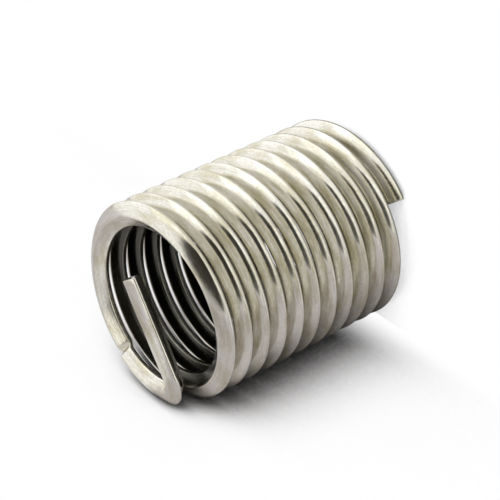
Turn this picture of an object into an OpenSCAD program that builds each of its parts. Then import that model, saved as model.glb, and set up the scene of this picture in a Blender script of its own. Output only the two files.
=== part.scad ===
// Threaded insert for a tapped hole: one diamond-section wire, coiled and ended in a tang.
// The coil stands on its plain end, centred on the origin, with +Z along the coil.
// The outer edge of the wire is a male thread and the inner edge is a female thread.
// The tang is the bar across the bore at the top. It runs along +X.

/* [Coil] */
// Outside diameter of the free coil, over the outer crests
coil_od = 19.6; // [13:0.1:40]
// Rise of the wire in one turn, which is the pitch of both threads
pitch = 2; // [1.85:0.05:5]
// Turns from the plain end to the start of the bend
turns = 11.7; // [3:0.1:16]

/* [Wire] */
// Height of the wire along the coil, at its widest
wire_h = 1.75; // [1.2:0.05:1.8]
// Angle between the two flanks of each thread
thread_angle = 60; // [52:1:70]
// Width of the flat along the outer crest
outer_flat = 0.25; // [0.1:0.05:0.6]
// Width of the flat along the inner crest
inner_flat = 0.5; // [0.3:0.05:0.7]
// Width of the blunted edges where the two threads meet
edge_flat = 0.12; // [0.04:0.02:0.3]

/* [Tang] */
// Straight length of the tang, from the bend to its cut end
tang_len = 9.9; // [3:0.1:11]
// Angle that the wire turns through to cross the bore
tang_turn = 108; // [95:1:122]
// Angle that the bend rolls the wire about its own length
tang_roll = 18; // [0:1:25]
// Radius left inside the bend, at the inner crest
bend_r = 0.16; // [0.1:0.02:0.8]
// Height that the wire springs up beyond the notch
tang_lift = 0.24; // [0:0.02:0.5]

/* [Notch] */
// Length of wire between the notch and the bend
notch_back = 7; // [4:0.1:12]
// Length of the break-off notch along the wire
notch_len = 0.9; // [0.5:0.1:2]
// Depth of the notch, across the outer crest and the upper flanks
notch_depth = 0.36; // [0.1:0.02:0.4]

/* [Hidden] */

// Depths of the two threads, from the wire's widest line to its crests
flank_slope = tan(thread_angle / 2);
outer_depth = (wire_h - outer_flat) / 2 / flank_slope;
inner_depth = (wire_h - inner_flat) / 2 / flank_slope;

// The widest line of the wire follows this radius in the coil and in the bend
coil_r = coil_od / 2 - outer_depth;
turn_r = bend_r + inner_depth;

// Angles about the axis, in degrees: the tang comes out of the bend along +X
bend_at = 270 - tang_turn;
coil_start = bend_at - 360 * turns;
degree = PI * coil_r / 180;
notch_at = bend_at - notch_back / degree;
notch_half = notch_len / degree / 2;

// Rings of the sweep: about one every 6 degrees, and fewer on a very long coil
ring_step = max(6, turns * 360 / 700);
bend_rings = 10;

// Evenly spaced values from a up to b, without b itself
function span(a, b, n) = [for (i = [0 : n - 1]) a + (b - a) * i / n];
function arc(a, b) = span(a, b, ceil((b - a) / ring_step));

// Depth of the notch at an angle of the coil: a V with a narrow floor
function notch_cut(a) =
    notch_depth * min(1, max(0, (1 - abs(a - notch_at) / notch_half) / 0.75));

// Height of the wire's middle at an angle of the coil
function rise(a) =
    wire_h / 2 + pitch * (a - coil_start) / 360
    + tang_lift * min(1, max(0, (a - notch_at + notch_half) / notch_half / 2));

// Half of the wire's section above its middle, from the outer crest to the inner crest
function upper_side(cut) = [
    [outer_depth - cut, outer_flat / 2 + cut * (flank_slope - 1)],
    [edge_flat / 2, wire_h / 2 - cut],
    [-edge_flat / 2, wire_h / 2 - cut],
    [-inner_depth, inner_flat / 2 - cut]
];

// The other half, which the notch leaves whole apart from the crest
function lower_side(cut) = [
    [-inner_depth, -inner_flat / 2],
    [-edge_flat / 2, -wire_h / 2],
    [edge_flat / 2, -wire_h / 2],
    [outer_depth - cut, -outer_flat / 2 - cut * flank_slope]
];

function section(cut) = concat(upper_side(cut), lower_side(cut));

// One ring of the sweep: the section at a point of the wire, facing outwards at angle a
function ring(middle, a, roll, cut) = [
    for (p = section(cut))
        let (
            out = p.x * cos(roll) - p.y * sin(roll),
            up = p.x * sin(roll) + p.y * cos(roll)
        )
        middle + [out * cos(a), out * sin(a), up]
];

// The coil, with rings at both edges of the notch and of its floor
notch_edges = [for (k = [-1, -0.25, 0.25]) notch_at + k * notch_half];
coil_angles = concat(
    arc(coil_start, notch_at - notch_half),
    notch_edges,
    arc(notch_at + notch_half, bend_at)
);
coil_rings = [
    for (a = coil_angles)
        ring([coil_r * cos(a), coil_r * sin(a), rise(a)], a, 0, notch_cut(a))
];

// The bend turns the wire inwards on a tight arc and rolls it as it goes
bend_centre = (coil_r - turn_r) * [cos(bend_at), sin(bend_at)];
function bend_point(a) =
    [bend_centre.x + turn_r * cos(a), bend_centre.y + turn_r * sin(a), rise(bend_at)];
function bend_roll(a) = tang_roll * (a - bend_at) / tang_turn;
bend_rings_list = [
    for (a = span(bend_at, bend_at + tang_turn, bend_rings))
        ring(bend_point(a), a, bend_roll(a), 0)
];

// The tang is straight, from the end of the bend to a square cut
tang_face = bend_at + tang_turn;
tang_rings = [
    for (s = [0, tang_len])
        ring(bend_point(tang_face) + [s, 0, 0], tang_face, tang_roll, 0)
];

wire_rings = concat(coil_rings, bend_rings_list, tang_rings);

// Skins a row of rings, and closes both ends of it
module skin(rings) {
    n = len(rings[0]);
    last = (len(rings) - 1) * n;
    sides = [
        for (i = [0 : len(rings) - 2], j = [0 : n - 1])
            let (a = i * n + j, b = i * n + (j + 1) % n)
            each [[a, b, b + n], [a, b + n, a + n]]
    ];
    first_end = [for (j = [n - 1 : -1 : 0]) j];
    last_end = [for (j = [0 : n - 1]) last + j];
    polyhedron(
        points = [for (r = rings) each r],
        faces = concat(sides, [first_end, last_end]),
        convexity = 20
    );
}

module wire_coil() {
    color([0.72, 0.71, 0.68])
        skin(wire_rings);
}

wire_coil();
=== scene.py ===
import math

import bpy
from mathutils import Matrix, Vector


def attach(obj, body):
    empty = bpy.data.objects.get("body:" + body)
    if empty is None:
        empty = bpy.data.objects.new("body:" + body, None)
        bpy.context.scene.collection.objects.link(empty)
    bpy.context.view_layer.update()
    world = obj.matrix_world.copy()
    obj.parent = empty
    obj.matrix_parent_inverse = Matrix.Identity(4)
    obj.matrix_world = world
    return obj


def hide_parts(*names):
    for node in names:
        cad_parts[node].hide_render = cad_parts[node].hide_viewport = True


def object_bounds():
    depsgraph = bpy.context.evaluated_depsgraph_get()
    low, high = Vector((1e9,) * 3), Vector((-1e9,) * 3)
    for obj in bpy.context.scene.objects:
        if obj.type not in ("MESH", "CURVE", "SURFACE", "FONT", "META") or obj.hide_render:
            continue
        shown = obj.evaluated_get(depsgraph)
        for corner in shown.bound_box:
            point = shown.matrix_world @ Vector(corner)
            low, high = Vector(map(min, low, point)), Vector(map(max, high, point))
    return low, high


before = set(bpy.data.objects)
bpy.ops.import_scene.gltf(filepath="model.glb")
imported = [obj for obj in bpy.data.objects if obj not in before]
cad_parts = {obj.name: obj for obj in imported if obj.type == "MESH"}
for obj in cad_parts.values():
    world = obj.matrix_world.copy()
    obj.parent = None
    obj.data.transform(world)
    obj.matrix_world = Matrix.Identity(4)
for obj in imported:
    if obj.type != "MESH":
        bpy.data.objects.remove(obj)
cad_low, cad_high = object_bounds()

# The camera looks down on the standing coil from the side that shows the tang, the notch and the
# wire's cut end, and it is rolled over so that the coil appears to lie on its side.
MM = 0.001
aim_point = Vector((0.73, 0.09, 12.23)) * MM
camera_distance = 181.5 * MM
camera_azimuth = math.radians(6.63)
camera_elevation = math.radians(32.22)
camera_roll = math.radians(-115.46)

camera_back = Vector((
    math.sin(camera_azimuth) * math.cos(camera_elevation),
    -math.cos(camera_azimuth) * math.cos(camera_elevation),
    math.sin(camera_elevation),
))
camera_data = bpy.data.cameras.new("camera")
camera_data.lens = 139.8
camera_data.sensor_width = 36
camera_data.clip_start = 0.01
camera_data.clip_end = 20
camera = bpy.data.objects.new("camera", camera_data)
bpy.context.scene.collection.objects.link(camera)
upright = (-camera_back).to_track_quat("-Z", "Y")
camera.rotation_mode = "QUATERNION"
camera.rotation_quaternion = upright @ Matrix.Rotation(camera_roll, 3, "Z").to_quaternion()
camera.location = aim_point + camera_back * camera_distance
bpy.context.scene.camera = camera

# The wire coil is the whole insert: one length of cold-rolled stainless wire of diamond section.
# It is wound nearly edge to edge, notched near its leading end, and the end is bent inwards across
# the bore to make the tang. Both ends are sheared off square.
coil_od = cad_high.x - cad_low.x
pitch = 2.0 * MM
turns = 11.7
wire_h = 1.75 * MM
outer_depth = 1.299 * MM
inner_depth = 1.0825 * MM
crest_round = 0.19 * MM
crest_tilt = math.radians(43)
shoulder_round = 2.0 * MM
shoulder_tilt = math.radians(58)
flank_bulge = 0.02 * MM
edge_round = 0.1 * MM
edge_tilt = math.radians(68)
inner_tilt = math.radians(120)
inner_flat = 0.4 * MM
inner_round = 0.2 * MM
tang_len = 9.9 * MM
tang_turn = math.radians(108)
tang_roll = math.radians(18)
bend_r = 0.16 * MM
tang_lift = 0.24 * MM
notch_back = 7.0 * MM
notch_len = 0.9 * MM
notch_depth = 0.36 * MM
notch_slope = 0.75
end_round = 0.07 * MM

coil_r = coil_od / 2 - outer_depth
turn_r = bend_r + inner_depth
bend_at = math.radians(270) - tang_turn
coil_start = bend_at - math.tau * turns
notch_at = bend_at - notch_back / coil_r
notch_half = notch_len / coil_r / 2

crest_steps = 7
corner_steps = 4
flank_steps = 7
coil_step = math.radians(2.5)
notch_step = math.radians(0.25)
bend_step = math.radians(3)
tang_step = 0.5 * MM
end_shares = (0.0, 0.15, 0.4)


def corner_arc(centre, radius, a, b, count):
    """Points of a section's corner, from normal angle a to b."""
    return [
        (centre[0] + radius * math.cos(a + (b - a) * i / count),
         centre[1] + radius * math.sin(a + (b - a) * i / count))
        for i in range(count + 1)
    ]


def half_section():
    """The upper half of the wire's section, from the outer crest to the inner crest."""
    crest_centre = (outer_depth - crest_round, 0)
    crest = corner_arc(crest_centre, crest_round, 0, crest_tilt, crest_steps)
    away = shoulder_round - crest_round
    shoulder_centre = (crest_centre[0] - away * math.cos(crest_tilt), -away * math.sin(crest_tilt))
    crest += corner_arc(shoulder_centre, shoulder_round, crest_tilt, shoulder_tilt, corner_steps)[1:]
    edge_centre = (0, wire_h / 2 - edge_round)
    edge = corner_arc(edge_centre, edge_round, edge_tilt, inner_tilt, corner_steps)
    foot_centre = (inner_round - inner_depth,
                   inner_flat / 2 - inner_round * math.tan((math.pi - inner_tilt) / 2))
    foot = corner_arc(foot_centre, inner_round, inner_tilt, math.pi, corner_steps)
    start, end = crest[-1], edge[0]
    run = (end[0] - start[0], end[1] - start[1])
    length = math.hypot(*run)
    flank = []
    for i in range(1, flank_steps):
        t = i / flank_steps
        out = 4 * flank_bulge * t * (1 - t)
        flank.append((start[0] + run[0] * t + out * run[1] / length,
                      start[1] + run[1] * t - out * run[0] / length))
    return crest + flank + edge + foot


upper = half_section()
section = upper + [(x, -y) for x, y in reversed(upper[1:])]
section_normals = []
for i in range(len(section)):
    before, after = section[i - 1], section[(i + 1) % len(section)]
    dx, dy = after[0] - before[0], after[1] - before[1]
    size = math.hypot(dx, dy)
    section_normals.append((dy / size, -dx / size))


def notch_cut(a):
    """Depth of the notch at an angle of the coil. Its sides slope, and its middle is flat."""
    t = min(1, max(0, (1 - abs(a - notch_at) / notch_half) / notch_slope))
    return notch_depth * t


def rise(a):
    """Height of the wire's middle at an angle of the coil."""
    lift = min(1, max(0, (a - notch_at + notch_half) / notch_half / 2))
    return wire_h / 2 + pitch * (a - coil_start) / math.tau + tang_lift * lift


def cut_section(cut, inset):
    """The section with its upper side and outer crest pressed in by cut, shrunk by inset."""
    press_from = outer_depth - 2.5 * cut
    press_low = 0.3 * wire_h
    points = []
    for (x, y), (nx, ny) in zip(section, section_normals):
        x, y = x - nx * inset, y - ny * inset
        if cut > 0:
            if x > press_from:
                squeeze = (outer_depth - cut - press_from) / (outer_depth - press_from)
                x = press_from + (x - press_from) * squeeze
            if y > 0:
                y -= cut * min(1, y / press_low)
        points.append((x, y))
    return points


ring_points, ring_places = [], []


def add_ring(middle, a, roll, along, cut=0.0, inset=0.0):
    """One ring of the sweep at a point of the wire, facing outwards at angle a and rolled by roll."""
    for x, y in cut_section(cut, inset):
        out = x * math.cos(roll) - y * math.sin(roll)
        up = x * math.sin(roll) + y * math.cos(roll)
        ring_points.append((middle[0] + out * math.cos(a), middle[1] + out * math.sin(a),
                            middle[2] + up))
        ring_places.append((along / MM, x / MM, y / MM))


def steps(a, b, size):
    """Even steps of about the given size, from a up to b without b itself."""
    count = max(1, math.ceil((b - a) / size))
    return [a + (b - a) * i / count for i in range(count)]


def end_inset(share):
    """How far the section is drawn in at a share of the way over a rounded end."""
    return end_round * (1 - math.sqrt(1 - (1 - share) ** 2))


def coil_ring(a, inset=0.0):
    """One ring of the coil at an angle about its axis."""
    along = coil_r * (a - coil_start)
    middle = (coil_r * math.cos(a), coil_r * math.sin(a), rise(a))
    add_ring(middle, a, 0.0, along, notch_cut(a), inset)


end_angle = end_round / coil_r
for share in end_shares:
    coil_ring(coil_start + end_angle * share, end_inset(share))
angles = steps(coil_start + end_angle, notch_at - notch_half, coil_step)
angles += steps(notch_at - notch_half, notch_at + notch_half, notch_step)
angles += steps(notch_at + notch_half, bend_at, coil_step)
for a in angles:
    coil_ring(a)

bend_x = (coil_r - turn_r) * math.cos(bend_at)
bend_y = (coil_r - turn_r) * math.sin(bend_at)
bend_z = rise(bend_at)
coil_length = coil_r * (bend_at - coil_start)
for a in steps(bend_at, bend_at + tang_turn, bend_step):
    middle = (bend_x + turn_r * math.cos(a), bend_y + turn_r * math.sin(a), bend_z)
    roll = tang_roll * (a - bend_at) / tang_turn
    add_ring(middle, a, roll, coil_length + turn_r * (a - bend_at))

tang_face = bend_at + tang_turn
tang_start = coil_length + turn_r * tang_turn


def tang_ring(s, inset=0.0):
    """One ring of the straight tang at a distance from the bend."""
    middle = (bend_x + turn_r * math.cos(tang_face) + s, bend_y + turn_r * math.sin(tang_face),
              bend_z)
    add_ring(middle, tang_face, tang_roll, tang_start + s, inset=inset)


for s in steps(0.0, tang_len - end_round, tang_step):
    tang_ring(s)
for share in (1.0, *reversed(end_shares)):
    tang_ring(tang_len - end_round * share, end_inset(share))

around = len(section)
ring_count = len(ring_points) // around
faces = []
for i in range(ring_count - 1):
    for j in range(around):
        a, b = i * around + j, i * around + (j + 1) % around
        faces.append((a, a + around, b + around, b))
last = (ring_count - 1) * around
faces.append(tuple(range(around)))
faces.append(tuple(range(last + around - 1, last - 1, -1)))

wire_mesh = bpy.data.meshes.new("stainless_coil")
wire_mesh.from_pydata(ring_points, [], faces)
wire_mesh.polygons.foreach_set("use_smooth", [True] * (len(faces) - 2) + [False, False])
place = wire_mesh.attributes.new("wire_place", "FLOAT_VECTOR", "POINT")
place.data.foreach_set("vector", [v for p in ring_places for v in p])
wire_mesh.update()
stainless_coil = bpy.data.objects.new("stainless_coil", wire_mesh)
bpy.context.scene.collection.objects.link(stainless_coil)


def feed(tree, socket, value):
    """Links a value into a socket, or sets it there if it is a plain number or colour."""
    if isinstance(value, bpy.types.NodeSocket):
        tree.links.new(value, socket)
    else:
        socket.default_value = value


def add_math(tree, operation, *values):
    """The result of a sum on values or plain numbers."""
    node = tree.nodes.new("ShaderNodeMath")
    node.operation = operation
    for socket, value in zip(node.inputs, values):
        feed(tree, socket, value)
    return node.outputs[0]


def map_value(tree, value, source, target=(0.0, 1.0), smooth=False):
    """A value carried from one range to another, and held at the ends of the range."""
    node = tree.nodes.new("ShaderNodeMapRange")
    if smooth:
        node.interpolation_type = "SMOOTHSTEP"
    for name, number in zip(("From Min", "From Max", "To Min", "To Max"), source + target):
        node.inputs[name].default_value = number
    tree.links.new(value, node.inputs["Value"])
    return node.outputs["Result"]


def scaled(tree, colour, factor):
    """A colour made lighter or darker by a factor."""
    node = tree.nodes.new("ShaderNodeVectorMath")
    node.operation = "SCALE"
    feed(tree, node.inputs[0], colour)
    tree.links.new(factor, node.inputs["Scale"])
    return node.outputs["Vector"]


def mixed(tree, first, second, share):
    """The first colour where the share is 0 and the second where it is 1."""
    node = tree.nodes.new("ShaderNodeMix")
    node.data_type = "RGBA"
    feed(tree, node.inputs["A"], first)
    feed(tree, node.inputs["B"], second)
    tree.links.new(share, node.inputs["Factor"])
    return node.outputs["Result"]


def noise(tree, spot, stretch, detail):
    """Soft noise from 0 to 1, as many spots to the millimetre as stretch gives for each axis."""
    scale = tree.nodes.new("ShaderNodeVectorMath")
    scale.operation = "MULTIPLY"
    scale.inputs[1].default_value = stretch
    tree.links.new(spot, scale.inputs[0])
    texture = tree.nodes.new("ShaderNodeTexNoise")
    texture.inputs["Scale"].default_value = 1.0
    texture.inputs["Detail"].default_value = detail
    tree.links.new(scale.outputs["Vector"], texture.inputs["Vector"])
    return texture.outputs[0]


steel = bpy.data.materials.new("rolled_stainless")
steel.use_nodes = True
steel_tree = steel.node_tree
shader = steel_tree.nodes["Principled BSDF"]
shader.inputs["Metallic"].default_value = 1.0

# Place on the wire in millimetres: X along it, Y out from its widest line, Z up the coil.
steel_spot = steel_tree.nodes.new("ShaderNodeAttribute")
steel_spot.attribute_name = "wire_place"
steel_axes = steel_tree.nodes.new("ShaderNodeSeparateXYZ")
steel_tree.links.new(steel_spot.outputs["Vector"], steel_axes.inputs[0])
along_wire = steel_axes.outputs["X"]
across_wire = steel_axes.outputs["Y"]

# Fine draw lines run along the wire, and a shorter grain lies between them. Patches of thin
# straw-coloured oxide lie on the flanks in places.
draw_lines = noise(steel_tree, steel_spot.outputs["Vector"], (0.5, 12, 12), 4.0)
grain = noise(steel_tree, steel_spot.outputs["Vector"], (3.5, 7, 7), 3.0)
patches = noise(steel_tree, steel_spot.outputs["Vector"], (0.35, 1.2, 1.2), 3.0)
clean_tint = mixed(steel_tree, (0.785, 0.765, 0.70, 1), (0.60, 0.565, 0.44, 1),
                   map_value(steel_tree, patches, (0.4, 0.68)))

# The draw lines and the grain darken the steel a little, and the last turn is a little darker still.
line_depth = add_math(steel_tree, "ADD", draw_lines, grain)
line_shade = map_value(steel_tree, line_depth, (0.75, 1.3), (1.04, 0.82))
last_turn = (coil_length - math.tau * coil_r) / MM
last_fade_from = last_turn + 10
last_fade_to = last_turn + 18
below_last = map_value(steel_tree, along_wire, (last_fade_to, last_fade_from))
last_turn_darker = map_value(steel_tree, below_last, (0.0, 1.0), (0.95, 1.0))
lined_tint = scaled(steel_tree, clean_tint, add_math(steel_tree, "MULTIPLY", line_shade, last_turn_darker))

# A painted shade darkens the flanks inside the bore nearly to black, in place of the bore's deep
# shadow and many reflections. It leaves out the last turn and is lighter on the inner crest.
# Painted shade: the inner flanks are mixed towards near-black.
inner_flank = map_value(steel_tree, across_wire, (0.05, -0.25), smooth=True)
off_crest = map_value(steel_tree, across_wire, (-1.08, -1.0), (0.6, 1.0), smooth=True)
bore_shade_depth = add_math(steel_tree, "MULTIPLY", inner_flank, off_crest)
painted_bore_shade = add_math(steel_tree, "MULTIPLY", bore_shade_depth, below_last)
steel_tint_and_shade = mixed(steel_tree, lined_tint, (0.08, 0.077, 0.068, 1), painted_bore_shade)
steel_tree.links.new(steel_tint_and_shade, shader.inputs["Base Color"])

# The crest is burnished by the rolls and by handling, so it is smoother than the flanks.
burnish = map_value(steel_tree, across_wire, (0.9, 1.2), (0.16, 0.08), smooth=True)
grain_rough = map_value(steel_tree, grain, (0.3, 0.7), (-0.04, 0.06))
roughness = add_math(steel_tree, "ADD", burnish, grain_rough)
steel_tree.links.new(roughness, shader.inputs["Roughness"])
surface = steel_tree.nodes.new("ShaderNodeBump")
surface.inputs["Strength"].default_value = 0.6
surface.inputs["Distance"].default_value = 0.004 * MM
steel_tree.links.new(line_depth, surface.inputs["Height"])
steel_tree.links.new(surface.outputs["Normal"], shader.inputs["Normal"])
wire_mesh.materials.append(steel)

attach(stainless_coil, "root")
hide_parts("wire_coil")

# The floor is a sheet of pale card that the coil stands on. It shows white to the camera and the
# steel outside the coil's shadow and its bore. The backdrop stands on it, just clear of the coil,
# so the backdrop's direction and gap are set here.
backdrop_azimuth = math.radians(-35.4)
facing = Vector((math.cos(backdrop_azimuth), math.sin(backdrop_azimuth), 0))
sideways = Vector((-facing.y, facing.x, 0))
backdrop_gap = coil_od / 2 + 0.02 * MM
floor_half = 2.0


def flat_sheet(name, outline):
    """A flat sheet with the given outline."""
    mesh = bpy.data.meshes.new(name)
    mesh.from_pydata(outline, [], [tuple(range(len(outline)))])
    sheet = bpy.data.objects.new(name, mesh)
    bpy.context.scene.collection.objects.link(sheet)
    return sheet


def distance_along(tree, spot, way):
    """How far a spot lies along a direction."""
    node = tree.nodes.new("ShaderNodeVectorMath")
    node.operation = "DOT_PRODUCT"
    node.inputs[1].default_value = way
    tree.links.new(spot, node.inputs[0])
    return node.outputs["Value"]


def distance_out(tree, spot):
    """How far a spot lies from its sheet's origin."""
    node = tree.nodes.new("ShaderNodeVectorMath")
    node.operation = "LENGTH"
    tree.links.new(spot, node.inputs[0])
    return node.outputs["Value"]


def blended(tree, share, first, second):
    """The first surface where the share is 0 and the second where it is 1."""
    node = tree.nodes.new("ShaderNodeMixShader")
    for socket, value in zip(node.inputs, (share, first, second)):
        tree.links.new(value, socket)
    return node.outputs[0]


def partly_white(tree, lit, steel_share, camera_share):
    """A lit surface that is plain white to a share of the steel's view and of the camera's."""
    white = tree.nodes.new("ShaderNodeEmission")
    white.inputs["Strength"].default_value = 1.0
    path = tree.nodes.new("ShaderNodeLightPath")
    mirrored = add_math(tree, "MULTIPLY", path.outputs["Is Glossy Ray"], steel_share)
    seen = add_math(tree, "MULTIPLY", path.outputs["Is Camera Ray"], camera_share)
    return blended(tree, add_math(tree, "ADD", mirrored, seen), lit, white.outputs[0])


floor = flat_sheet("floor", [(-floor_half, -floor_half, 0), (floor_half, -floor_half, 0),
                             (floor_half, floor_half, 0), (-floor_half, floor_half, 0)])
card = bpy.data.materials.new("pale_card")
card.use_nodes = True
card_tree = card.node_tree
card_tree.nodes.clear()
card_spot = card_tree.nodes.new("ShaderNodeTexCoord").outputs["Object"]

# The card's colour carries a painted shade near the coil, taken from ambient occlusion. The shade
# is evened out along the fold at the backdrop's foot, so that the fold draws no line of its own.
card_open = card_tree.nodes.new("ShaderNodeAmbientOcclusion")
card_open.samples = 12
card_open.inputs["Distance"].default_value = 30 * MM
card_past = add_math(card_tree, "ADD", distance_along(card_tree, card_spot, facing), backdrop_gap)
card_away = add_math(card_tree, "ABSOLUTE", card_past)
card_even = map_value(card_tree, card_away, (0.0, 27 * MM), (2.0, 1.0))
card_level = add_math(card_tree, "MULTIPLY", card_open.outputs["AO"], card_even)
card_lit = card_tree.nodes.new("ShaderNodeBsdfDiffuse")
card_shade = map_value(card_tree, card_level, (0.02, 0.42), (0.15, 0.5))
card_tree.links.new(card_shade, card_lit.inputs["Color"])

# It is white to the steel from outside the bore, and white to the camera outside the shade.
card_clear = map_value(card_tree, distance_out(card_tree, card_spot),
                       (coil_od * 0.65, coil_od * 1.2), (0.0, 0.95), smooth=True)
card_bright = map_value(card_tree, card_level, (0.05, 0.36), smooth=True)
card_surface = partly_white(card_tree, card_lit.outputs[0], card_clear, card_bright)
card_out = card_tree.nodes.new("ShaderNodeOutputMaterial")
card_tree.links.new(card_surface, card_out.inputs["Surface"])
floor.data.materials.append(card)

# The backdrop is a sheet of the same card, stood upright so that it just clears the coil's side.
# It shows from its front only and is clear from behind, so it never hides the coil.
backdrop_half = 0.12
backdrop_height = 0.09
strip_middle = 3.5 * MM
strip_half = 4.5 * MM
backdrop_foot = -facing * backdrop_gap
backdrop_left = backdrop_foot - sideways * backdrop_half
backdrop_right = backdrop_foot + sideways * backdrop_half
backdrop_top = Vector((0, 0, backdrop_height))
backdrop = flat_sheet("backdrop", [backdrop_left, backdrop_right, backdrop_right + backdrop_top,
                                   backdrop_left + backdrop_top])
screen = bpy.data.materials.new("pale_screen")
screen.use_nodes = True
screen_tree = screen.node_tree
screen_tree.nodes.clear()
screen_spot = screen_tree.nodes.new("ShaderNodeTexCoord").outputs["Object"]
screen_axes = screen_tree.nodes.new("ShaderNodeSeparateXYZ")
screen_tree.links.new(screen_spot, screen_axes.inputs[0])
screen_height = screen_axes.outputs["Z"]

# The card's colour carries a painted shadow from ambient occlusion about a tilted normal. It is
# darkest beside the coil, and the shade is drawn out towards the camera's side.
screen_open = screen_tree.nodes.new("ShaderNodeAmbientOcclusion")
screen_open.samples = 12
screen_open.inputs["Distance"].default_value = 42 * MM
screen_tilt = facing + sideways * 1.1 + Vector((0, 0, 0.8))
screen_open.inputs["Normal"].default_value = screen_tilt.normalized()
screen_even = map_value(screen_tree, screen_height, (0.0, 20 * MM), (1.95, 1.23))
screen_level = add_math(screen_tree, "MULTIPLY", screen_open.outputs["AO"], screen_even)
screen_lit = screen_tree.nodes.new("ShaderNodeBsdfDiffuse")
screen_shade = map_value(screen_tree, screen_level, (0.27, 0.58), (0.05, 0.79))
screen_colour = scaled(screen_tree, (1.0, 0.965, 1.02), screen_shade)
screen_tree.links.new(screen_colour, screen_lit.inputs["Color"])

# An upright strip on the far side is partly white to the steel only, a painted reflection, so that
# the coil's back isn't black. To the camera the card is white outside the shade and along its foot.
screen_across = distance_along(screen_tree, screen_spot, sideways)
screen_past = add_math(screen_tree, "SUBTRACT", screen_across, strip_middle)
screen_aside = add_math(screen_tree, "ABSOLUTE", screen_past)
screen_strip = map_value(screen_tree, screen_aside, (strip_half, strip_half - 2 * MM), (0.0, 0.7),
                         smooth=True)
screen_bright = map_value(screen_tree, screen_level, (0.28, 0.82), smooth=True)
screen_low = map_value(screen_tree, screen_height, (6 * MM, 0.0), smooth=True)
screen_plain = add_math(screen_tree, "MAXIMUM", screen_bright, screen_low)
screen_front = partly_white(screen_tree, screen_lit.outputs[0], screen_strip, screen_plain)
screen_clear = screen_tree.nodes.new("ShaderNodeBsdfTransparent")
screen_side = screen_tree.nodes.new("ShaderNodeNewGeometry")
screen_surface = blended(screen_tree, screen_side.outputs["Backfacing"], screen_front,
                         screen_clear.outputs[0])
screen_out = screen_tree.nodes.new("ShaderNodeOutputMaterial")
screen_tree.links.new(screen_surface, screen_out.inputs["Surface"])
backdrop.data.materials.append(screen)

# A round black card hangs over the coil, outside the picture. Its reflection draws the dark lines
# beside the crests, and it fades out towards its rim.
flag_radius = 24.5 * MM
flag_corners = 48
flag_ahead = 18 * MM
flag_near = 12 * MM
flag_height = 64 * MM
flag_turns = [math.tau * i / flag_corners for i in range(flag_corners)]
flag = flat_sheet("black_card", [(flag_radius * math.cos(a), flag_radius * math.sin(a), 0)
                                 for a in flag_turns])
flag.location = facing * flag_ahead - sideways * flag_near + Vector((0, 0, flag_height))
flag.rotation_euler = (0, 0, backdrop_azimuth)
flag.scale = (1.1, 1, 1)
flag.visible_camera = False

black = bpy.data.materials.new("black_card")
black.use_nodes = True
black_tree = black.node_tree
black_tree.nodes.clear()
black_spot = black_tree.nodes.new("ShaderNodeTexCoord").outputs["Object"]
black_fade = map_value(black_tree, distance_out(black_tree, black_spot), (16 * MM, 24 * MM),
                       smooth=True)
black_lit = black_tree.nodes.new("ShaderNodeBsdfDiffuse")
black_lit.inputs["Color"].default_value = (0.09, 0.085, 0.075, 1)
black_clear = black_tree.nodes.new("ShaderNodeBsdfTransparent")
black_surface = blended(black_tree, black_fade, black_lit.outputs[0], black_clear.outputs[0])
black_out = black_tree.nodes.new("ShaderNodeOutputMaterial")
black_tree.links.new(black_surface, black_out.inputs["Surface"])
flag.data.materials.append(black)

# The room is brightest on the side that the backdrop faces and beyond the coil, and dimmer on the
# camera's side. One dark patch high up on the camera's side gives the steel its contrast.
room = bpy.data.worlds.new("studio")
bpy.context.scene.world = room
room.use_nodes = True
room_tree = room.node_tree
room_tree.nodes.clear()
room_spot = room_tree.nodes.new("ShaderNodeTexCoord").outputs["Generated"]

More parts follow.
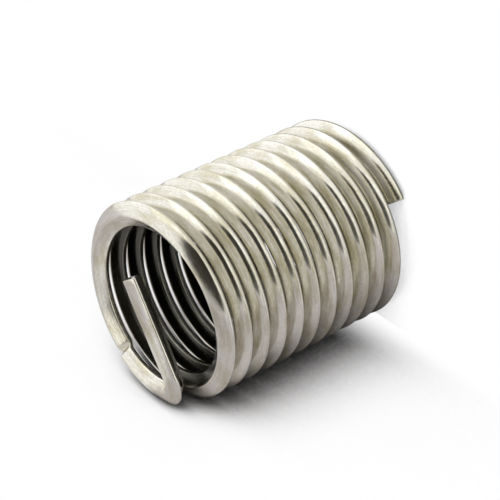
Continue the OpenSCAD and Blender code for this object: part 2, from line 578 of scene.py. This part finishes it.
# Each step holds a share of the way to the bright side, the level there and its warmth.
room_steps = ((0.1, 0.4, 0.03), (0.18, 0.58, 0.08), (0.27, 0.88, 0.1), (0.5, 0.92, 0.07),
              (0.75, 0.89, 0.03), (0.89, 0.93, 0.0))
bright_way = facing * 0.6 + sideways * 0.8
room_level = room_tree.nodes.new("ShaderNodeValToRGB")
room_ramp = room_level.color_ramp.elements
room_ramp[0].position = 0.0
room_ramp[0].color = (0.33, 0.33, 0.33, 1)
room_ramp[1].position = 1.0
room_ramp[1].color = (1.15, 1.15, 1.15, 1)
for position, level, warmth in room_steps:
    step = room_ramp.new(position)
    step.color = (level, level * (1 - 0.15 * warmth), level * (1 - warmth), 1)
room_rise = map_value(room_tree, distance_along(room_tree, room_spot, bright_way), (-1.0, 1.0))
room_tree.links.new(room_rise, room_level.inputs["Fac"])

dark_way = Vector((0, 0, 1)) * 0.926 - sideways * 0.374 + facing * 0.052
dark_edge = math.cos(math.radians(22))
dark_core = math.cos(math.radians(9))
room_near = distance_along(room_tree, room_spot, dark_way.normalized())
room_dark = map_value(room_tree, room_near, (dark_edge, dark_core), (1.0, 0.08), smooth=True)
room_colour = scaled(room_tree, room_level.outputs["Color"], room_dark)
room_light = room_tree.nodes.new("ShaderNodeBackground")
room_light.inputs["Strength"].default_value = 1.35
room_tree.links.new(room_colour, room_light.inputs["Color"])
room_white = room_tree.nodes.new("ShaderNodeBackground")
room_white.inputs["Strength"].default_value = 1.0
room_path = room_tree.nodes.new("ShaderNodeLightPath")
room_surface = blended(room_tree, room_path.outputs["Is Camera Ray"], room_light.outputs[0],
                       room_white.outputs[0])
room_out = room_tree.nodes.new("ShaderNodeOutputWorld")
room_tree.links.new(room_surface, room_out.inputs["Surface"])

# One big soft lamp stands above the coil's height, on the side that the backdrop faces. Its
# brightness is on the scale on which plain white is 1.
key_azimuth = math.radians(-4)
key_elevation = math.radians(35)
key_distance = 0.6
key_size = 0.45
key_brightness = 0.4
key_data = bpy.data.lights.new("key", "AREA")
key_data.shape = "SQUARE"
key_data.size = key_size
key_data.energy = key_brightness * math.pi * key_size * key_size
key_way = Vector((
    math.cos(key_azimuth) * math.cos(key_elevation),
    math.sin(key_azimuth) * math.cos(key_elevation),
    math.sin(key_elevation),
))
key = bpy.data.objects.new("key", key_data)
key.location = key_way * key_distance
key.rotation_mode = "QUATERNION"
key.rotation_quaternion = (-key_way).to_track_quat("-Z", "Y")
bpy.context.scene.collection.objects.link(key)

bpy.context.scene.view_settings.view_transform = "Standard"
